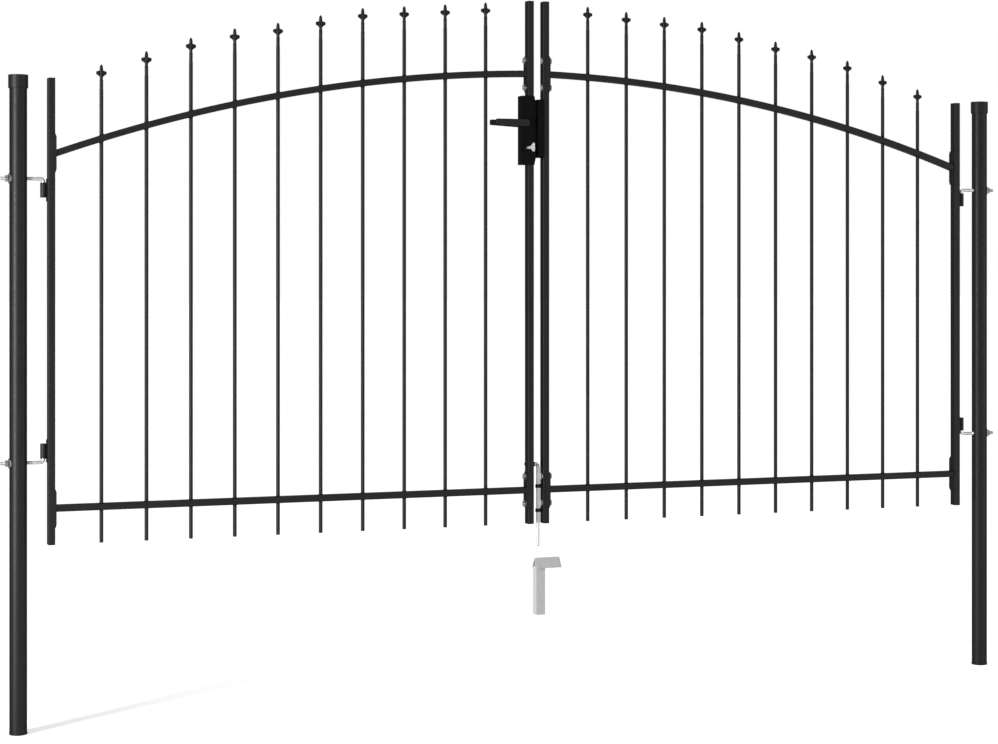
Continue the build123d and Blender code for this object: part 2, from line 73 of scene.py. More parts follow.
class GateSizes(bpy.types.PropertyGroup):
    """Sizes of the fine shapes that the frame leaves plain."""

    tube_rounding: bpy.props.FloatProperty(
        name="Tube corner radius", description="Outer corner radius of the stiles and rails",
        default=0.0026, min=0.0005, unit="LENGTH")
    tube_wall: bpy.props.FloatProperty(
        name="Tube wall", description="Wall thickness of the stiles",
        default=0.0015, min=0.0005, unit="LENGTH")
    arch_radius: bpy.props.FloatProperty(
        name="Arch radius", description="Radius of the top rails at their middle line",
        default=4.296, min=1, unit="LENGTH")
    rail_height: bpy.props.FloatProperty(
        name="Rail height", description="Height of the rails' tube", default=0.018, min=0.005, unit="LENGTH")
    pale_diameter: bpy.props.FloatProperty(
        name="Pale diameter", description="Diameter of the round pales",
        default=0.0106, min=0.004, unit="LENGTH")
    pale_foot_rounding: bpy.props.FloatProperty(
        name="Pale foot rounding", description="Rounded edge at a pale's foot",
        default=0.0012, min=0, unit="LENGTH")
    weld_size: bpy.props.FloatProperty(
        name="Weld size", description="Leg of the weld round a pale where it passes a rail",
        default=0.0022, min=0, unit="LENGTH")
    edge_rounding: bpy.props.FloatProperty(
        name="Edge rounding", description="Rounding of the coated edges of plates and brackets",
        default=0.0008, min=0, unit="LENGTH")
    bolt_spread: bpy.props.FloatProperty(
        name="Bolt spread", description="Distance of a bracket's bolts from the middle of the rail",
        default=0.0385, min=0.01, unit="LENGTH")
    bolt_diameter: bpy.props.FloatProperty(
        name="Bolt diameter", description="Thread diameter of the brackets' bolts",
        default=0.008, min=0.002, unit="LENGTH")
    bolt_flats: bpy.props.FloatProperty(
        name="Nut across flats", description="Width of the brackets' nuts across their flats",
        default=0.0165, min=0.004, unit="LENGTH")
    bolt_nut_height: bpy.props.FloatProperty(
        name="Nut height", description="Height of the brackets' nuts",
        default=0.0055, min=0.001, unit="LENGTH")
    bolt_dome_radius: bpy.props.FloatProperty(
        name="Dome radius", description="Radius of the bolts' domed heads",
        default=0.009, min=0.002, unit="LENGTH")
    bolt_dome_height: bpy.props.FloatProperty(
        name="Dome height", description="Height of the bolts' domed heads",
        default=0.003, min=0.001, unit="LENGTH")
    thread_pitch: bpy.props.FloatProperty(
        name="Thread pitch", description="Pitch of the hook bolts' thread",
        default=0.0015, min=0.0005, unit="LENGTH")
    thread_depth: bpy.props.FloatProperty(
        name="Thread depth", description="Depth of the hook bolts' thread",
        default=0.0007, min=0, unit="LENGTH")
    post_joint_height: bpy.props.FloatProperty(
        name="Post joint height", description="Height of the joint between the two lengths of a post",
        default=0.943, min=0.1, unit="LENGTH")
    post_joint_gap: bpy.props.FloatProperty(
        name="Post joint gap", description="Width of the fine groove at a post's joint",
        default=0.0012, min=0, unit="LENGTH")
    post_joint_depth: bpy.props.FloatProperty(
        name="Post joint depth", description="Depth of the fine groove at a post's joint",
        default=0.0007, min=0, unit="LENGTH")
    hook_thread: bpy.props.FloatProperty(
        name="Hook bolt thread", description="Length of the thread that shows on the leaf's side of a post",
        default=0.014, min=0, unit="LENGTH")
    handle_fall: bpy.props.FloatProperty(
        name="Handle fall", description="How far the drop bolt's handle falls towards its end",
        default=0.007, min=0, unit="LENGTH")
    socket_wall: bpy.props.FloatProperty(
        name="Socket wall", description="Wall thickness of the ground socket's stem",
        default=0.0025, min=0.0005, unit="LENGTH")
    socket_open_height: bpy.props.FloatProperty(
        name="Socket opening", description="Height of the open end under the ground socket's roof",
        default=0.0186, min=0, unit="LENGTH")


class GateFinishes(bpy.types.PropertyGroup):
    """Colours and gloss of the gate's finishes."""

    powder_colour: bpy.props.FloatVectorProperty(
        name="Powder coat", description="Colour of the powder-coated steel",
        default=(0.0045, 0.0045, 0.0047), subtype="COLOR", min=0, max=1)
    powder_roughness: bpy.props.FloatProperty(
        name="Powder coat roughness", description="Roughness of the powder coat",
        default=0.44, min=0, max=1, subtype="FACTOR")
    powder_gloss: bpy.props.FloatProperty(
        name="Powder coat gloss", description="Strength of the powder coat's reflections, seen straight on",
        default=0.23, min=0, max=1, subtype="FACTOR")
    lock_colour: bpy.props.FloatVectorProperty(
        name="Lock black", description="Colour of the lock and its keeper",
        default=(0.003, 0.003, 0.0032), subtype="COLOR", min=0, max=1)
    plastic_colour: bpy.props.FloatVectorProperty(
        name="Black plastic", description="Colour of caps, plugs and grip",
        default=(0.0048, 0.0048, 0.005), subtype="COLOR", min=0, max=1)
    zinc_colour: bpy.props.FloatVectorProperty(
        name="Zinc plate", description="Colour of the plated hook bolts, rod and spindle",
        default=(0.5, 0.508, 0.52), subtype="COLOR", min=0, max=1)
    # Painted shade: the small plated nuts, washers and bolt heads get a darker copy of the zinc colour,
    # standing in for the shade they sit in
    zinc_painted_shade_colour: bpy.props.FloatVectorProperty(
        name="Zinc with painted shade", description="Colour of the small plated nuts, washers and bolt heads",
        default=(0.22, 0.224, 0.231), subtype="COLOR", min=0, max=1)
    galvanised_colour: bpy.props.FloatVectorProperty(
        name="Galvanised steel", description="Colour of the ground socket",
        default=(0.56, 0.564, 0.57), subtype="COLOR", min=0, max=1)
    key_colour: bpy.props.FloatVectorProperty(
        name="Key steel", description="Colour of the key",
        default=(0.56, 0.56, 0.555), subtype="COLOR", min=0, max=1)


class GateStage(bpy.types.PropertyGroup):
    """Camera, light and floor."""

    eye: bpy.props.FloatVectorProperty(
        name="Camera place", description="Where the camera stands", default=(-0.8893, -6.0276, 1.258),
        subtype="TRANSLATION", unit="LENGTH")
    heading: bpy.props.FloatProperty(
        name="Camera heading", description="Turn of the level camera to the right of the drive",
        default=radians(20.46), subtype="ANGLE")
    focal_share: bpy.props.FloatProperty(
        name="Focal length", description="Focal length as a share of the picture's width",
        default=2249 / 998, min=0.1)
    horizon_share: bpy.props.FloatProperty(
        name="Horizon",
        description="Height of the horizon over the picture's middle, as a share of its width",
        default=112.72 / 998)
    floor_colour: bpy.props.FloatVectorProperty(
        name="Floor", description="Colour of the floor",
        default=(0.75, 0.75, 0.75), subtype="COLOR", min=0, max=1)
    key_power: bpy.props.FloatProperty(
        name="Key light", description="Power of the large soft light on the left",
        default=190, min=0, unit="POWER")
    fill_power: bpy.props.FloatProperty(
        name="Fill light", description="Power of the soft light on the right",
        default=45, min=0, unit="POWER")
    sky_strength: bpy.props.FloatProperty(
        name="Sky", description="Strength of the even light from all round", default=0.36, min=0)


def sizes():
    return bpy.context.scene.gate_sizes


def finishes():
    return bpy.context.scene.gate_finishes


# Sections and skins

def circle(radius, count=32):
    """Points of a circle in a section's plane."""
    return [(radius * cos(2 * pi * i / count), radius * sin(2 * pi * i / count)) for i in range(count)]


def rounded_rectangle(width, depth, radius, steps=4):
    """Points of a rectangle with round corners in a section's plane."""
    points = []
    for quarter, (sign_x, sign_y) in enumerate(((1, 1), (-1, 1), (-1, -1), (1, -1))):
        middle_x, middle_y = sign_x * (width / 2 - radius), sign_y * (depth / 2 - radius)
        for step in range(steps + 1):
            angle = (quarter + step / steps) * pi / 2
            points.append((middle_x + radius * cos(angle), middle_y + radius * sin(angle)))
    return points


def placed(section, origin, first, second):
    """A section's points in space."""
    return [origin + first * x + second * y for x, y in section]


def square_to(axis):
    """Two directions that make a right-handed frame with an axis."""
    first = BACK.cross(axis) if abs(axis.dot(BACK)) < 0.9 else UP.cross(axis)
    first.normalize()
    return first, axis.cross(first)


def skin(bm, rings, loop=False):
    """Quads between rings of equal count; a loop joins the last ring to the first, else both ends close."""
    rows = [[bm.verts.new(point) for point in ring] for ring in rings]
    pairs = list(zip(rows, rows[1:]))
    if loop:
        pairs.append((rows[-1], rows[0]))
    for low, high in pairs:
        for i in range(len(low)):
            j = (i + 1) % len(low)
            bm.faces.new((low[i], low[j], high[j], high[i]))
    if not loop:
        bm.faces.new(rows[0][::-1])
        bm.faces.new(rows[-1])


def turned(bm, profile, origin, axis=UP, count=32, loop=False):
    """A turned shape: profile holds radius and height along the axis."""
    first, second = square_to(axis)
    rings = [
        placed(circle(radius, count), origin + axis * height, first, second) for radius, height in profile
    ]
    skin(bm, rings, loop)


def swept(bm, points, section, side):
    """A section carried along points that lie in the plane square to side."""
    rings = []
    for i, point in enumerate(points):
        along = (points[min(i + 1, len(points) - 1)] - points[max(i - 1, 0)]).normalized()
        rings.append(placed(section, point, side, along.cross(side)))
    skin(bm, rings)


def square_tube(bm, foot, head, width, depth, wall, rounding, inner_rounding):
    """An upright tube between two points, open at both ends."""
    outer = rounded_rectangle(width, depth, rounding)
    inner = rounded_rectangle(width - 2 * wall, depth - 2 * wall, inner_rounding)
    rings = [
        placed(outer, foot, ACROSS, BACK), placed(outer, head, ACROSS, BACK),
        placed(inner, head, ACROSS, BACK), placed(inner, foot, ACROSS, BACK),
    ]
    skin(bm, rings, loop=True)


def rounded_corner(start, corner, end, radius, steps=10):
    """A route from start to end that goes round its corner in an arc."""
    into, out = (corner - start).normalized(), (end - corner).normalized()
    turn = into.angle(out)
    reach = radius * (1 - cos(turn)) / sin(turn)
    inward = (out - into * into.dot(out)).normalized()
    middle = corner - into * reach + inward * radius
    arc = [
        middle - inward * radius * cos(turn * i / steps) + into * radius * sin(turn * i / steps)
        for i in range(steps + 1)
    ]
    return [start] + arc + [end]


def rounded_edge(radius, rounding, height, steps=4):
    """The end of a turned profile: a rounded outer edge, up to a height."""
    angles = [pi / 2 * i / steps for i in range(steps + 1)]
    return [
        (radius - rounding + rounding * cos(angle), height - rounding + rounding * sin(angle))
        for angle in angles
    ]


def hexagon_reach(angle, flats):
    """Distance from a hexagon's middle to its side in a direction."""
    return flats / 2 / cos((angle + pi / 6) % (pi / 3) - pi / 6)


def add_nut(bm, origin, axis, flats, height, bore, count=48):
    """A hexagon nut with its corners turned off, standing on origin."""
    first, second = square_to(axis)
    turned_off = flats / sqrt(3) - flats / 2
    face_radius = flats / 2 * 0.985
    bevel_shares = (0, 0.35, 0.7, 1)
    bevel_height, bevel_reach = turned_off * 0.6, turned_off * 1.1

    def ring(level, limit):
        section = []
        for i in range(count):
            angle = 2 * pi * i / count
            reach = min(hexagon_reach(angle, flats), limit)
            section.append((reach * cos(angle), reach * sin(angle)))
        return placed(section, origin + axis * level, first, second)

    rings = [ring(bevel_height * share, face_radius + bevel_reach * share) for share in bevel_shares]
    for share in reversed(bevel_shares):
        rings.append(ring(height - bevel_height * share, face_radius + bevel_reach * share))
    inner = circle(bore, count)
    rings.append(placed(inner, origin + axis * height, first, second))
    rings.append(placed(inner, origin, first, second))
    skin(bm, rings, loop=True)


def add_thread(bm, origin, axis, radius, length, pitch, depth, count=24, rows_per_pitch=6):
    """A threaded stub with a bevelled end."""
    first, second = square_to(axis)
    rings = []
    rows = max(2, int(length / pitch * rows_per_pitch))
    for row in range(rows + 1):
        level = length * row / rows
        bevel = max(0, depth - (length - level))
        section = []
        for i in range(count):
            turn = i / count
            wave = 0.5 - 0.5 * cos(2 * pi * (level / pitch - turn))
            reach = radius - max(depth * wave, bevel)
            section.append((reach * cos(2 * pi * turn), reach * sin(2 * pi * turn)))
        rings.append(placed(section, origin + axis * level, first, second))
    skin(bm, rings)


# Pieces and the frame

def welded_copy(node):
    """A mesh of a CAD node with its split corners joined."""
    bm = bmesh.new()
    bm.from_mesh(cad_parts[node].data)
    bmesh.ops.remove_doubles(bm, verts=bm.verts, dist=2e-6)
    return bm


def loose_boxes(node):
    """Lowest and highest corners of each separate solid of a node, from left to right, then upwards."""
    bm = welded_copy(node)
    waiting, boxes = set(bm.verts), []
    while waiting:
        stack, island = [waiting.pop()], []
        while stack:
            vert = stack.pop()
            island.append(vert.co.copy())
            for edge in vert.link_edges:
                other = edge.other_vert(vert)
                if other in waiting:
                    waiting.remove(other)
                    stack.append(other)
        low = Vector([min(point[i] for point in island) for i in range(3)])
        high = Vector([max(point[i] for point in island) for i in range(3)])
        boxes.append((low, high))
    bm.free()
    return sorted(boxes, key=lambda box: (round(box[0].x, 4), box[0].z))


def softened_copy(node, rounding, segments=2, angle=35):
    """A CAD node with its sharp edges rounded."""
    bm = welded_copy(node)
    bmesh.ops.dissolve_limit(bm, angle_limit=radians(0.5), verts=bm.verts, edges=bm.edges)
    sharp = [
        edge for edge in bm.edges
        if len(edge.link_faces) == 2 and edge.calc_face_angle() > radians(angle)
    ]
    bmesh.ops.bevel(
        bm, geom=sharp, offset=rounding, offset_type="OFFSET", segments=segments, profile=0.5,
        affect="EDGES", clamp_overlap=True,
    )
    return bm


def add_piece(name, bm, body, finish, *nodes, smooth_angle=40):
    """Turn a mesh into a piece that rides on a body, wears a finish and stands for CAD nodes."""
    bmesh.ops.recalc_face_normals(bm, faces=bm.faces)
    mesh = bpy.data.meshes.new(name)
    bm.to_mesh(mesh)
    bm.free()
    mesh.polygons.foreach_set("use_smooth", [True] * len(mesh.polygons))
    mesh.set_sharp_from_angle(angle=radians(smooth_angle))
    mesh.materials.append(bpy.data.materials[finish])
    piece = bpy.data.objects.new(name, mesh)
    bpy.context.scene.collection.objects.link(piece)
    normals = piece.modifiers.new("Even normals", "WEIGHTED_NORMAL")
    normals.keep_sharp = True
    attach(piece, body)
    if nodes:
        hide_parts(*nodes)
    return piece


# Finishes


class Finish:
    """A node material that is built up step by step on one shader."""

    def __init__(self, name, colour, roughness, metallic=0.0, specular=0.5):
        self.material = bpy.data.materials.new(name)
        self.material.use_nodes = True
        self.tree = self.material.node_tree
        self.shader = self.tree.nodes["Principled BSDF"]
        self.shader.inputs["Base Color"].default_value = (*colour, 1)
        self.shader.inputs["Roughness"].default_value = roughness
        self.shader.inputs["Metallic"].default_value = metallic
        self.shader.inputs["Specular IOR Level"].default_value = specular
        self.place = self.tree.nodes.new("ShaderNodeTexCoord").outputs["Object"]

    def link(self, source, target):
        self.tree.links.new(source, target)

    def noise(self, scale, detail=3.0):
        node = self.tree.nodes.new("ShaderNodeTexNoise")
        node.inputs["Scale"].default_value = scale
        node.inputs["Detail"].default_value = detail
        self.link(self.place, node.inputs["Vector"])
        return node.outputs["Fac"]

    def facing(self):
        """Zero where the surface is seen straight on, one where it is seen along its edge."""
        return self.tree.nodes.new("ShaderNodeLayerWeight").outputs["Facing"]

    def spangle(self, scale):
        node = self.tree.nodes.new("ShaderNodeTexVoronoi")
        node.inputs["Scale"].default_value = scale
        self.link(self.place, node.inputs["Vector"])
        return node.outputs["Color"]

    def ramp(self, factor, low, high, start=0.3, end=0.7):
        """Blend between two colours or greys over a stretch of a factor."""
        node = self.tree.nodes.new("ShaderNodeValToRGB")
        node.color_ramp.elements[0].position = start
        node.color_ramp.elements[0].color = (*low, 1) if isinstance(low, tuple) else (low, low, low, 1)
        node.color_ramp.elements[1].position = end
        node.color_ramp.elements[1].color = (*high, 1) if isinstance(high, tuple) else (high, high, high, 1)
        self.link(factor, node.inputs["Fac"])
        return node.outputs["Color"]

    def bump(self, height, strength, distance):
        node = self.tree.nodes.new("ShaderNodeBump")
        node.inputs["Strength"].default_value = strength
        node.inputs["Distance"].default_value = distance
        self.link(height, node.inputs["Height"])
        self.link(node.outputs["Normal"], self.shader.inputs["Normal"])

    def colour_from(self, output):
        self.link(output, self.shader.inputs["Base Color"])

    def roughness_from(self, output):
        self.link(output, self.shader.inputs["Roughness"])

    def gloss_from(self, output):
        self.link(output, self.shader.inputs["Specular IOR Level"])


def shade(colour, factor):
    return tuple(min(1, channel * factor) for channel in colour)


def make_powder_coat():
    """Semi-matte powder coat: a fine orange peel and soft cloudy variation."""
    colour = tuple(finishes().powder_colour)
    roughness, gloss = finishes().powder_roughness, finishes().powder_gloss
    coat = Finish("powder_coat", colour, roughness, specular=gloss)
    coat.colour_from(coat.ramp(coat.noise(35, 4), shade(colour, 0.82), shade(colour, 1.2)))
    coat.roughness_from(coat.ramp(coat.noise(90, 5), roughness - 0.05, roughness + 0.06))
    coat.gloss_from(coat.ramp(coat.facing(), gloss, gloss * 0.04, 0.12, 0.55))
    coat.bump(coat.noise(900, 2), 0.04, 0.0004)


def make_lock_black():
    """Deep black lacquer on the lock, a little rougher than the coat."""
    colour = tuple(finishes().lock_colour)
    coat = Finish("lock_black", colour, 0.5, specular=0.1)
    coat.colour_from(coat.ramp(coat.noise(60, 4), shade(colour, 0.75), shade(colour, 1.4)))
    coat.roughness_from(coat.ramp(coat.noise(140, 4), 0.46, 0.56))
    coat.gloss_from(coat.ramp(coat.facing(), 0.05, 0.004, 0.1, 0.55))
    coat.bump(coat.noise(1400, 2), 0.05, 0.0003)


def make_moulded_black():
    """Moulded plastic with a fine grain."""
    colour = tuple(finishes().plastic_colour)
    plastic = Finish("moulded_black", colour, 0.46, specular=0.23)
    plastic.colour_from(plastic.ramp(plastic.noise(80, 3), shade(colour, 0.85), shade(colour, 1.25)))
    plastic.roughness_from(plastic.ramp(plastic.noise(200, 4), 0.42, 0.5))
    plastic.gloss_from(plastic.ramp(plastic.facing(), 0.23, 0.015, 0.12, 0.6))
    plastic.bump(plastic.noise(2600, 2), 0.08, 0.0002)


def make_zinc(name, colour):
    """Zinc plate with a faint blue cast and soft cloudy variation."""
    colour = tuple(colour)
    zinc = Finish(name, colour, 0.3, metallic=1)
    zinc.colour_from(zinc.ramp(zinc.noise(120, 3), shade(colour, 0.93), shade(colour, 1.06)))
    zinc.roughness_from(zinc.ramp(zinc.noise(300, 3), 0.26, 0.36))
    zinc.bump(zinc.noise(1800, 3), 0.03, 0.0002)


def make_galvanised():
    """Hot-dip galvanised steel with soft spangle."""
    colour = tuple(finishes().galvanised_colour)
    steel = Finish("galvanised", colour, 0.48, metallic=0.1, specular=0.2)
    steel.colour_from(steel.ramp(steel.spangle(150), shade(colour, 0.96), shade(colour, 1.04), 0.1, 0.9))
    steel.roughness_from(steel.ramp(steel.noise(160, 4), 0.44, 0.54))
    steel.bump(steel.noise(420, 3), 0.05, 0.0003)


def make_key_silver():
    """Polished nickel with fine scratches."""
    colour = tuple(finishes().key_colour)
    nickel = Finish("key_silver", colour, 0.24, metallic=1)
    nickel.colour_from(nickel.ramp(nickel.noise(300, 3), shade(colour, 0.88), shade(colour, 1.1)))
    nickel.roughness_from(nickel.ramp(nickel.noise(900, 5), 0.18, 0.34))
    nickel.bump(nickel.noise(900, 2), 0.02, 0.0002)


# Operators

class GATE_OT_finishes(bpy.types.Operator):
    """Make the gate's materials"""

    bl_idname = "gate.finishes"
    bl_label = "Finishes"

    def execute(self, context):
        make_powder_coat()
        make_lock_black()
        make_moulded_black()
        make_zinc("zinc", finishes().zinc_colour)
        # A darker copy of the zinc for the small nuts, washers and bolt heads: painted shade, not a different
        # plating
        make_zinc("zinc_painted_shade", finishes().zinc_painted_shade_colour)
        make_galvanised()
        make_key_silver()
        return {"FINISHED"}


class GATE_OT_posts(bpy.types.Operator):
    """Make the round posts with their caps and foot plugs"""

    bl_idname = "gate.posts"
    bl_label = "Posts"

    tube_wall = 0.002
    groove_floor_share = 0.8
    cap_play = 0.0002
    cap_lip = 0.0008
    cap_rounding = 0.0012
    plug_lip = 0.0012

    def execute(self, context):
        for side in SIDES:
            self.make_post(side)
            self.make_cap(side)
            self.make_plug(side)
        return {"FINISHED"}

    def make_post(self, side):
        low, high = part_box(f"{side}_post")
        radius = (high.x - low.x) / 2
        bore = radius - self.tube_wall
        middle = Vector(((low.x + high.x) / 2, 0, 0))
        joint, half = sizes().post_joint_height, sizes().post_joint_gap / 2
        floor, floor_half = radius - sizes().post_joint_depth, half * self.groove_floor_share
        profile = [
            (radius, low.z), (radius, joint - half), (floor, joint - floor_half), (floor, joint + floor_half),
            (radius, joint + half), (radius, high.z), (bore, high.z), (bore, low.z),
        ]
        bm = bmesh.new()
        turned(bm, profile, middle, count=96, loop=True)
        add_piece(f"{side}_post_tube", bm, "posts", "powder_coat", f"{side}_post")

    def make_cap(self, side):
        low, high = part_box(f"{side}_post_cap")
        radius = (high.x - low.x) / 2
        tube_low, tube_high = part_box(f"{side}_post")
        bore, lip = (tube_high.x - tube_low.x) / 2 + self.cap_play, self.cap_lip
        middle = Vector(((low.x + high.x) / 2, 0, 0))
        profile = [(bore, tube_high.z), (bore, low.z), (radius - lip, low.z), (radius, low.z + lip)]
        profile += rounded_edge(radius, self.cap_rounding, high.z)
        bm = bmesh.new()
        turned(bm, profile, middle, count=96)
        add_piece(f"{side}_post_top", bm, "posts", "moulded_black", f"{side}_post_cap")

    def make_plug(self, side):
        low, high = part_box(f"{side}_post_foot_plug")
        radius = (high.x - low.x) / 2
        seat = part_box(f"{side}_post")[0].z
        middle = Vector(((low.x + high.x) / 2, 0, 0))
        lip = self.plug_lip
        profile = [(radius - lip, low.z), (radius - lip * 0.3, low.z + lip * 0.3), (radius, low.z + lip)]
        profile += rounded_edge(radius, lip, seat)
        bm = bmesh.new()
        turned(bm, profile, middle, count=96)
        add_piece(f"{side}_post_foot", bm, "posts", "moulded_black", f"{side}_post_foot_plug")


class GATE_OT_hinges(bpy.types.Operator):
    """Make the hook bolts, their nuts and saddles, and the hinge barrels"""

    bl_idname = "gate.hinges"
    bl_label = "Hinges"

    bend_radius = 0.009
    pin_bevel_share = 0.25

    def execute(self, context):
        for side in SIDES:
            for level in ("upper", "lower"):
                self.make_hook_bolt(side, level)
            self.make_nuts(side)
            saddles = softened_copy(f"{side}_hinge_saddles", sizes().edge_rounding * 0.7)
            add_piece(f"{side}_curved_washers", saddles, "posts", "zinc_painted_shade", f"{side}_hinge_saddles")
            barrels = softened_copy(f"{side}_hinge_barrels", sizes().edge_rounding * 0.7)
            node = f"{side}_hinge_barrels"
            add_piece(f"{side}_weld_on_barrels", barrels, f"{side}_leaf", "powder_coat", node)
        return {"FINISHED"}

    def make_hook_bolt(self, side, level):
        node = f"{side}_{level}_hinge_bolt"
        low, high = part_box(node)
        radius = (high.y - low.y) / 2
        inward = 1 if side == "left" else -1
        tail_x, pin_x = (low.x, high.x - radius) if inward > 0 else (high.x, low.x + radius)
        bolt_z, tip_z = (high.z - radius, low.z) if level == "upper" else (low.z + radius, high.z)
        tail, corner, tip = Vector((tail_x, 0, bolt_z)), Vector((pin_x, 0, bolt_z)), Vector((pin_x, 0, tip_z))
        post_low, post_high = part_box(f"{side}_post")
        thread_end = (post_high.x if inward > 0 else post_low.x) + inward * sizes().hook_thread
        bm = bmesh.new()
        start = Vector((thread_end, 0, bolt_z))
        length = abs(thread_end - tail_x)
        add_thread(bm, start, -ACROSS * inward, radius, length, sizes().thread_pitch, sizes().thread_depth)
        route = rounded_corner(start, corner, tip, self.bend_radius)
        bevel = radius * self.pin_bevel_share
        route.insert(-1, tip + (corner - tip).normalized() * bevel)
        swept(bm, route[:-1], circle(radius), BACK)
        turned(bm, [(radius, 0), (radius - bevel, bevel)], route[-2], (tip - corner).normalized())
        add_piece(f"{side}_{level}_hook_bolt", bm, "posts", "zinc", node)

    def make_nuts(self, side):
        node = f"{side}_hinge_nuts"
        bolt_low, bolt_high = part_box(f"{side}_upper_hinge_bolt")
        bore = (bolt_high.y - bolt_low.y) / 2
        post_low, post_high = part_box(f"{side}_post")
        post_x = (post_low.x + post_high.x) / 2
        bm = bmesh.new()
        for low, high in loose_boxes(node):
            outward = 1 if low.x > post_x else -1
            seat_x = low.x if outward > 0 else high.x
            origin = Vector((seat_x, 0, (low.z + high.z) / 2))
            add_nut(bm, origin, ACROSS * outward, min(high.y - low.y, high.z - low.z), high.x - low.x, bore)
        add_piece(f"{side}_hook_nuts", bm, "posts", "zinc_painted_shade", node)


class GATE_OT_stiles(bpy.types.Operator):
    """Make the upright tubes of both leaves and the plugs in their ends"""

    bl_idname = "gate.stiles"
    bl_label = "Stiles"

    plug_insets = ((0, 0), (0.55, 0), (0.8, 0.0003), (0.95, 0.0009), (1, 0.0018))

    def execute(self, context):
        for side in SIDES:
            for place in ("outer", "inner"):
                self.make_tube(side, place)
            self.make_plugs(side)
        return {"FINISHED"}

    def make_tube(self, side, place):
        low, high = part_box(f"{side}_{place}_stile")
        wall, rounding = sizes().tube_wall, sizes().tube_rounding
        foot = Vector(((low.x + high.x) / 2, 0, low.z))
        head = Vector((foot.x, 0, high.z))
        bm = bmesh.new()
        square_tube(bm, foot, head, high.x - low.x, high.y - low.y, wall, rounding, rounding - wall)
        add_piece(f"{side}_{place}_stile_tube", bm, f"{side}_leaf", "powder_coat", f"{side}_{place}_stile")

    def make_plugs(self, side):
        rounding = sizes().tube_rounding
        plugs_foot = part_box(f"{side}_stile_plugs")[0].z
        bm = bmesh.new()
        for place in ("outer", "inner"):
            low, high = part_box(f"{side}_{place}_stile")
            width, depth = high.x - low.x, high.y - low.y
            middle = Vector(((low.x + high.x) / 2, 0, 0))
            flange = low.z - plugs_foot
            for end_z, reach in ((high.z, flange), (low.z, -flange)):
                rings = []
                for share, inset in self.plug_insets:
                    section = rounded_rectangle(width - 2 * inset, depth - 2 * inset, rounding - inset * 0.5)
                    rings.append(placed(section, middle + UP * (end_z + reach * share), ACROSS, BACK))
                skin(bm, rings)
        add_piece(f"{side}_stile_end_plugs", bm, f"{side}_leaf", "moulded_black", f"{side}_stile_plugs")


class GATE_OT_panels(bpy.types.Operator):
    """Make the rails and pales of both leaves with their welds"""

    bl_idname = "gate.panels"
    bl_label = "Rails and pales"

    arch_steps = 64
    weld_shares = ((0, -0.5), (1, -0.1), (0.45, 0.45), (0, 1))

    def execute(self, context):
        for side in SIDES:
            self.make_panel(side)
        return {"FINISHED"}

    def make_panel(self, side):
        low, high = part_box(f"{side}_panel")
        depth, height = high.y - low.y, sizes().rail_height
        section = rounded_rectangle(depth, height, sizes().tube_rounding)
        rail_z = [self.rail_heights(side, place) for place in ("outer", "inner")]
        start_x, end_x = (low.x, high.x) if side == "left" else (high.x, low.x)
        starts = [Vector((start_x, 0, z)) for z in rail_z[0]]
        ends = [Vector((end_x, 0, z)) for z in rail_z[1]]
        bm = bmesh.new()
        swept(bm, [starts[0], ends[0]], section, BACK)
        arch = self.arch(starts[1], ends[1])
        steps = self.arch_steps
        crest = [arch(end_x + (start_x - end_x) * i / steps)[0] for i in range(steps + 1)]
        swept(bm, crest, section, BACK)
        for finial_low, finial_high in loose_boxes(f"{side}_finials"):
            pale_x = (finial_low.x + finial_high.x) / 2
            self.make_pale(bm, pale_x, low.z, finial_low.z)
            self.make_welds(bm, Vector((pale_x, 0, rail_z[0][0])), 0, height)
            self.make_welds(bm, *arch(pale_x), height)
        add_piece(f"{side}_rails_and_pales", bm, f"{side}_leaf", "powder_coat", f"{side}_panel")

    def rail_heights(self, side, place):
        """Heights of the bottom and top rail at one end, from the brackets that hold them."""
        boxes = loose_boxes(f"{side}_{place}_brackets")
        return sorted((low.z + high.z) / 2 for low, high in boxes)

    def arch(self, start, end):
        """Place and slope of the top rail at any X, on an arc through its two ends."""
        radius = sizes().arch_radius
        chord = end - start
        rise = sqrt(radius ** 2 - (chord.length / 2) ** 2)
        normal = Vector((-chord.z, 0, chord.x)).normalized()
        if normal.z > 0:
            normal.negate()
        centre = (start + end) / 2 + normal * rise

        def at(x):
            drop = sqrt(radius ** 2 - (x - centre.x) ** 2)
            return Vector((x, 0, centre.z + drop)), -(x - centre.x) / drop

        return at

    def make_pale(self, bm, pale_x, foot_z, top_z):
        radius, rounding = sizes().pale_diameter / 2, sizes().pale_foot_rounding
        profile = [(radius, top_z)] + [(r, 2 * foot_z - z) for r, z in rounded_edge(radius, rounding, foot_z)]
        turned(bm, profile, Vector((pale_x, 0, 0)), count=24)

    def make_welds(self, bm, middle, slope, height):
        """A fillet round the pale on the rail's upper and lower face."""
        radius, leg = sizes().pale_diameter / 2, sizes().weld_size
        for way in (-1, 1):
            face = height / 2 * sqrt(1 + slope ** 2)
            rings = []
            for out, rise in self.weld_shares:
                ring = []
                for x, y in circle(radius + leg * out, 24):
                    ring.append(middle + Vector((x, y, slope * x + way * (face + leg * rise))))
                rings.append(ring)
            skin(bm, rings, loop=True)


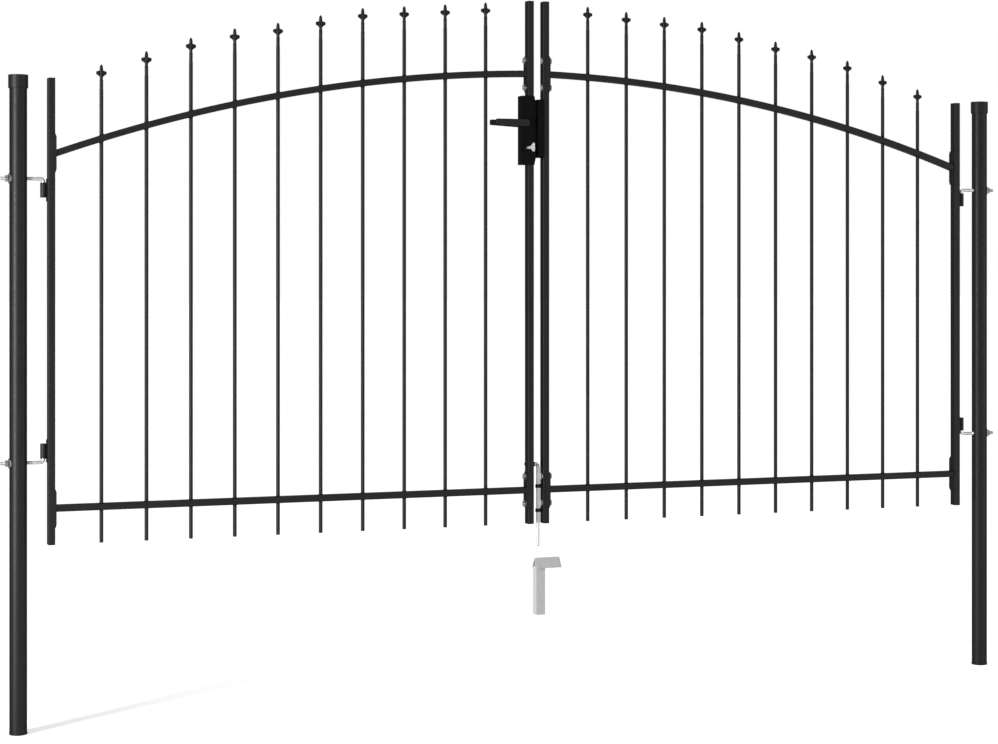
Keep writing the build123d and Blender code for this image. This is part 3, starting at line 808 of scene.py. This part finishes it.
class GATE_OT_finials(bpy.types.Operator):
    """Make the cast spear points on the pales"""

    bl_idname = "gate.finials"
    bl_label = "Spear finials"

    core_shares = (
        (0.0, 0.9), (0.02, 0.92), (0.3, 0.92), (0.335, 0.98), (0.365, 0.9), (0.4, 0.82), (0.44, 0.8),
        (0.5, 0.88), (0.56, 0.97), (0.62, 1.0), (0.68, 0.98), (0.72, 0.95), (0.77, 0.93), (0.82, 0.9),
        (0.87, 0.84), (0.92, 0.74), (0.95, 0.61), (0.975, 0.43), (0.992, 0.24), (1.0, 0.1),
    )
    petal_shares = (
        (0.05, 0.608, 0.154, 0.036), (0.3, 0.626, 0.128, 0.042), (0.52, 0.641, 0.103, 0.046),
        (0.72, 0.651, 0.08, 0.047), (0.88, 0.653, 0.069, 0.045), (0.96, 0.653, 0.054, 0.036),
        (0.995, 0.653, 0.022, 0.016),
    )

    def execute(self, context):
        for side in SIDES:
            bm = bmesh.new()
            for low, high in loose_boxes(f"{side}_finials"):
                self.make_spear(bm, low, high)
            name, node = f"{side}_spear_points", f"{side}_finials"
            add_piece(name, bm, f"{side}_leaf", "powder_coat", node, smooth_angle=60)
        return {"FINISHED"}

    def make_spear(self, bm, low, high):
        height, reach = high.z - low.z, (high.x - low.x) / 2
        foot = Vector(((low.x + high.x) / 2, 0, low.z))
        pale_radius = sizes().pale_diameter / 2
        turned(bm, [(pale_radius * r, height * z) for z, r in self.core_shares], foot, count=24)
        for direction in (ACROSS, BACK, -ACROSS, -BACK):
            side = UP.cross(direction)
            rings = []
            for out, level, half_height, half_width in self.petal_shares:
                section = [(x * half_width * height, y * half_height * height) for x, y in circle(1, 16)]
                origin = foot + direction * (reach * out) + UP * (height * level)
                rings.append(placed(section, origin, side, UP))
            skin(bm, rings)


class GATE_OT_brackets(bpy.types.Operator):
    """Make the saddle brackets that hold the rails and their bolts"""

    bl_idname = "gate.brackets"
    bl_label = "Rail brackets"

    washer_thickness = 0.0014
    washer_rounding = 0.0005
    washer_share = 0.575
    thread_end = 0.0015
    thread_pitch = 0.00125
    thread_depth = 0.0006
    dome_edge_share = 0.15
    dome_steps = 8

    def execute(self, context):
        for side in SIDES:
            for place in ("outer", "inner"):
                self.make_brackets(side, place)
        return {"FINISHED"}

    def make_brackets(self, side, place):
        node, body = f"{side}_{place}_brackets", f"{side}_leaf"
        brackets = softened_copy(node, sizes().edge_rounding)
        add_piece(f"{side}_{place}_saddle_brackets", brackets, body, "powder_coat", node)
        if place == "outer":
            return
        stile_low, stile_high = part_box(f"{side}_{place}_stile")
        panel_way = -1 if side == "left" else 1
        bm = bmesh.new()
        for low, high in loose_boxes(node):
            for spread in (-1, 1):
                level = (low.z + high.z) / 2 + spread * sizes().bolt_spread
                web_x = high.x if panel_way > 0 else low.x
                far_x = stile_low.x if panel_way > 0 else stile_high.x
                self.make_bolt(bm, Vector((web_x, 0, level)), Vector((far_x, 0, level)), ACROSS * panel_way)
        add_piece(f"{side}_{place}_bracket_bolts", bm, body, "zinc_painted_shade")

    def make_bolt(self, bm, web, far, axis):
        """A nut with its washer on the bracket, and the bolt's domed head on the stile's far face."""
        radius, flats, height = sizes().bolt_diameter / 2, sizes().bolt_flats, sizes().bolt_nut_height
        washer, washer_radius = self.washer_thickness, flats * self.washer_share
        rim = rounded_edge(washer_radius, self.washer_rounding, washer)
        profile = [(radius, 0), (washer_radius, 0), *rim, (radius, washer)]
        turned(bm, profile, web, axis, count=40, loop=True)
        add_nut(bm, web + axis * washer, axis, flats, height, radius)
        length = washer + height + self.thread_end
        add_thread(bm, web, axis, radius, length, self.thread_pitch, self.thread_depth)
        dome_radius, dome = sizes().bolt_dome_radius, sizes().bolt_dome_height
        edge = self.dome_edge_share
        profile = [(dome_radius, 0), (dome_radius, dome * edge)]
        for step in range(1, self.dome_steps):
            angle = pi / 2 * step / self.dome_steps
            profile.append((dome_radius * cos(angle), dome * (edge + (1 - edge) * sin(angle))))
        turned(bm, profile, far, -axis, count=40)


class GATE_OT_lock(bpy.types.Operator):
    """Make the lock's case, plates, cylinder and keeper"""

    bl_idname = "gate.lock"
    bl_label = "Lock"

    def execute(self, context):
        rounding = sizes().edge_rounding
        for node in ("lock_case", "lock_front_plate", "lock_back_plate"):
            add_piece(f"{node}_shell", softened_copy(node, rounding), "left_leaf", "lock_black", node)
        cylinder = softened_copy("lock_cylinder", rounding * 0.6)
        add_piece("lock_cylinder_ends", cylinder, "left_leaf", "lock_black", "lock_cylinder")
        add_piece("keeper_box", softened_copy("keeper", rounding), "right_leaf", "lock_black", "keeper")
        return {"FINISHED"}


class GATE_OT_levers(bpy.types.Operator):
    """Make the two levers and their spindle"""

    bl_idname = "gate.levers"
    bl_label = "Levers"

    def execute(self, context):
        for face in ("front", "back"):
            node = f"lever_{face}"
            add_piece(f"{node}_arm", softened_copy(node, sizes().edge_rounding), "lever", "powder_coat", node)
        spindle = softened_copy("lever_spindle", sizes().edge_rounding * 0.5)
        add_piece("lever_square_spindle", spindle, "lever", "zinc", "lever_spindle")
        return {"FINISHED"}


class GATE_OT_key(bpy.types.Operator):
    """Make the key and the plug that it turns"""

    bl_idname = "gate.key"
    bl_label = "Key"

    def execute(self, context):
        rounding = sizes().edge_rounding * 0.5
        add_piece("cut_key", softened_copy("key", rounding), "key", "key_silver", "key")
        add_piece("cylinder_plug", softened_copy("key_plug", rounding), "key", "lock_black", "key_plug")
        return {"FINISHED"}


class GATE_OT_drop_bolt(bpy.types.Operator):
    """Make the drop bolt's rod, grip and guides"""

    bl_idname = "gate.drop_bolt"
    bl_label = "Drop bolt"

    bend_radius = 0.01
    grip_rounding = 0.0016
    foot_bevel_share = 0.3

    def execute(self, context):
        self.make_rod()
        grip = softened_copy("drop_bolt_grip", self.grip_rounding, segments=3)
        add_piece("drop_bolt_handle_grip", grip, "drop_bolt", "moulded_black", "drop_bolt_grip")
        guides = softened_copy("drop_bolt_guides", sizes().edge_rounding)
        add_piece("drop_bolt_eyes", guides, "right_leaf", "powder_coat", "drop_bolt_guides")
        return {"FINISHED"}

    def make_rod(self):
        low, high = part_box("drop_bolt_rod")
        radius, bend = (high.x - low.x) / 2, self.bend_radius
        middle_x, fall = (low.x + high.x) / 2, sizes().handle_fall
        tilt = atan2(fall, high.y)
        reach = high.y - radius * sin(tilt)
        corner_z = high.z - radius * cos(tilt) + bend * tan((pi / 2 + tilt) / 2) * sin(tilt)
        corner = Vector((middle_x, 0, corner_z))
        foot = Vector((middle_x, 0, low.z))
        tip = corner + Vector((0, reach, -fall))
        bevel = radius * self.foot_bevel_share
        route = rounded_corner(foot + UP * bevel, corner, tip, bend)
        bm = bmesh.new()
        swept(bm, route, circle(radius), ACROSS)
        turned(bm, [(radius, 0), (radius - bevel, bevel)], foot + UP * bevel, -UP)
        add_piece("drop_bolt_bar", bm, "drop_bolt", "zinc", "drop_bolt_rod")


class GATE_OT_ground_socket(bpy.types.Operator):
    """Make the socket in the ground that takes the drop bolt"""

    bl_idname = "gate.ground_socket"
    bl_label = "Ground socket"

    def execute(self, context):
        roof = softened_copy("ground_socket_roof", sizes().edge_rounding)
        add_piece("ground_socket_roof_plate", roof, "posts", "galvanised", "ground_socket_roof")
        self.make_stem()
        return {"FINISHED"}

    def make_stem(self):
        """A square tube with its end cut level, so that the folded roof stays open at its left end."""
        low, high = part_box("ground_socket_stem")
        wall, rounding = sizes().socket_wall, sizes().edge_rounding
        foot = Vector(((low.x + high.x) / 2, (low.y + high.y) / 2, low.z))
        head = Vector((foot.x, foot.y, high.z - sizes().socket_open_height))
        bm = bmesh.new()
        square_tube(bm, foot, head, high.x - low.x, high.y - low.y, wall, rounding, rounding / 2)
        add_piece("ground_socket_stem_plate", bm, "posts", "galvanised", "ground_socket_stem")


class GATE_OT_stage(bpy.types.Operator):
    """Set up the floor, the light and the camera"""

    bl_idname = "gate.stage"
    bl_label = "Stage"

    key_place, key_width = (-2.24, -1.63), 0.4
    fill_place, fill_width = (6.2, -2.3), 0.6
    light_height = 3.2
    floor_half, floor_roughness, floor_gloss = 60, 0.9, 0.1
    view_depth = 200
    floor_glow_far, floor_glow_dip, floor_dip_radius = 0.78, 0.26, 2.5

    def execute(self, context):
        stage = context.scene.gate_stage
        self.make_floor(stage)
        self.make_sky(stage)
        middle = Vector([(low + high) / 2 for low, high in zip(*cad_box)])
        self.make_light("key_light", self.key_place, middle, self.key_width, stage.key_power)
        self.make_light("fill_light", self.fill_place, middle, self.fill_width, stage.fill_power)
        self.make_camera(stage)
        context.scene.view_settings.view_transform = "Standard"
        return {"FINISHED"}

    def make_floor(self, stage):
        bm = bmesh.new()
        half = self.floor_half
        corners = ((-half, -half), (half, -half), (half, half), (-half, half))
        bm.faces.new([bm.verts.new((x, y, 0)) for x, y in corners])
        mesh = bpy.data.meshes.new("floor")
        bm.to_mesh(mesh)
        bm.free()
        floor = bpy.data.objects.new("floor", mesh)
        bpy.context.scene.collection.objects.link(floor)
        material = bpy.data.materials.new("floor_white")
        material.use_nodes = True
        tree = material.node_tree
        shader = tree.nodes["Principled BSDF"]
        shader.inputs["Base Color"].default_value = (*stage.floor_colour, 1)
        shader.inputs["Roughness"].default_value = self.floor_roughness
        shader.inputs["Specular IOR Level"].default_value = self.floor_gloss
        glow = tree.nodes.new("ShaderNodeEmission")
        tree.links.new(self.floor_glow(tree), glow.inputs["Strength"])
        both = tree.nodes.new("ShaderNodeAddShader")
        tree.links.new(shader.outputs["BSDF"], both.inputs[0])
        tree.links.new(glow.outputs["Emission"], both.inputs[1])
        tree.links.new(both.outputs["Shader"], tree.nodes["Material Output"].inputs["Surface"])
        mesh.materials.append(material)

    def floor_glow(self, tree):
        """What the lit floor lacks to be white, less round the left post, so that its shadow stays."""
        place = tree.nodes.new("ShaderNodeMapping")
        place.vector_type = "TEXTURE"
        place.inputs["Scale"].default_value = (self.floor_dip_radius,) * 3
        near = tree.nodes.new("ShaderNodeTexGradient")
        near.gradient_type = "SPHERICAL"
        lack = tree.nodes.new("ShaderNodeMath")
        lack.operation = "MULTIPLY_ADD"
        lack.inputs[1].default_value = -self.floor_glow_dip
        lack.inputs[2].default_value = self.floor_glow_far
        seen = tree.nodes.new("ShaderNodeMath")
        seen.operation = "MULTIPLY"
        tree.links.new(tree.nodes.new("ShaderNodeTexCoord").outputs["Object"], place.inputs["Vector"])
        tree.links.new(place.outputs["Vector"], near.inputs["Vector"])
        tree.links.new(near.outputs["Fac"], lack.inputs[0])
        tree.links.new(lack.outputs[0], seen.inputs[0])
        tree.links.new(self.seen_share(tree), seen.inputs[1])
        return seen.outputs[0]

    def seen_share(self, tree):
        """One for rays that show the background, straight or in a reflection, and zero for the rest."""
        path = tree.nodes.new("ShaderNodeLightPath")
        total = path.outputs["Is Camera Ray"]
        for ray in ("Is Glossy Ray", "Is Transmission Ray"):
            larger = tree.nodes.new("ShaderNodeMath")
            larger.operation = "MAXIMUM"
            tree.links.new(total, larger.inputs[0])
            tree.links.new(path.outputs[ray], larger.inputs[1])
            total = larger.outputs[0]
        return total

    def make_sky(self, stage):
        world = bpy.data.worlds.new("studio")
        bpy.context.scene.world = world
        world.use_nodes = True
        tree = world.node_tree
        even = tree.nodes["Background"]
        even.inputs["Color"].default_value = (1, 1, 1, 1)
        even.inputs["Strength"].default_value = stage.sky_strength
        white = tree.nodes.new("ShaderNodeBackground")
        white.inputs["Color"].default_value = (1, 1, 1, 1)
        white.inputs["Strength"].default_value = 1
        mix = tree.nodes.new("ShaderNodeMixShader")
        tree.links.new(self.seen_share(tree), mix.inputs["Fac"])
        tree.links.new(even.outputs["Background"], mix.inputs[1])
        tree.links.new(white.outputs["Background"], mix.inputs[2])
        tree.links.new(mix.outputs["Shader"], tree.nodes["World Output"].inputs["Surface"])

    def make_light(self, name, foot, target, width, power):
        """An upright soft box over a point of the floor, turned to the gate's middle."""
        place = Vector((*foot, target.z))
        lamp = bpy.data.lights.new(name, "AREA")
        lamp.shape = "RECTANGLE"
        lamp.size = width
        lamp.size_y = self.light_height
        lamp.energy = power
        light = bpy.data.objects.new(name, lamp)
        light.location = place
        light.rotation_euler = (target - place).to_track_quat("-Z", "Y").to_euler()
        bpy.context.scene.collection.objects.link(light)

    def make_camera(self, stage):
        camera = bpy.data.cameras.new("camera")
        camera.sensor_fit = "HORIZONTAL"
        camera.lens = camera.sensor_width * stage.focal_share
        camera.shift_y = -stage.horizon_share
        camera.clip_end = self.view_depth
        eye = bpy.data.objects.new("camera", camera)
        eye.location = stage.eye
        eye.rotation_euler = (pi / 2, 0, -stage.heading)
        bpy.context.scene.collection.objects.link(eye)
        bpy.context.scene.camera = eye


STEPS = (
    GATE_OT_finishes, GATE_OT_posts, GATE_OT_hinges, GATE_OT_stiles, GATE_OT_panels, GATE_OT_finials,
    GATE_OT_brackets, GATE_OT_lock, GATE_OT_levers, GATE_OT_key, GATE_OT_drop_bolt, GATE_OT_ground_socket,
    GATE_OT_stage,
)


class GATE_PT_sidebar(bpy.types.Panel):
    """Buttons for the gate's pieces, and their sizes and colours"""

    bl_idname = "GATE_PT_sidebar"
    bl_label = "Driveway gate"
    bl_space_type = "VIEW_3D"
    bl_region_type = "UI"
    bl_category = "Gate"

    def draw(self, context):
        for group in (context.scene.gate_sizes, context.scene.gate_finishes, context.scene.gate_stage):
            column = self.layout.column()
            for name in group.__annotations__:
                column.prop(group, name)
        for step in STEPS:
            self.layout.operator(step.bl_idname)


CLASSES = (GateSizes, GateFinishes, GateStage, *STEPS, GATE_PT_sidebar)


def register():
    for entry in CLASSES:
        bpy.utils.register_class(entry)
    bpy.types.Scene.gate_sizes = bpy.props.PointerProperty(type=GateSizes)
    bpy.types.Scene.gate_finishes = bpy.props.PointerProperty(type=GateFinishes)
    bpy.types.Scene.gate_stage = bpy.props.PointerProperty(type=GateStage)


def unregister():
    del bpy.types.Scene.gate_stage
    del bpy.types.Scene.gate_finishes
    del bpy.types.Scene.gate_sizes
    for entry in reversed(CLASSES):
        bpy.utils.unregister_class(entry)


def main():
    register()
    bpy.ops.gate.finishes()
    bpy.ops.gate.posts()
    bpy.ops.gate.hinges()
    bpy.ops.gate.stiles()
    bpy.ops.gate.panels()
    bpy.ops.gate.finials()
    bpy.ops.gate.brackets()
    bpy.ops.gate.lock()
    bpy.ops.gate.levers()
    bpy.ops.gate.key()
    bpy.ops.gate.drop_bolt()
    bpy.ops.gate.ground_socket()
    bpy.ops.gate.stage()


if __name__ == "__main__":
    main()
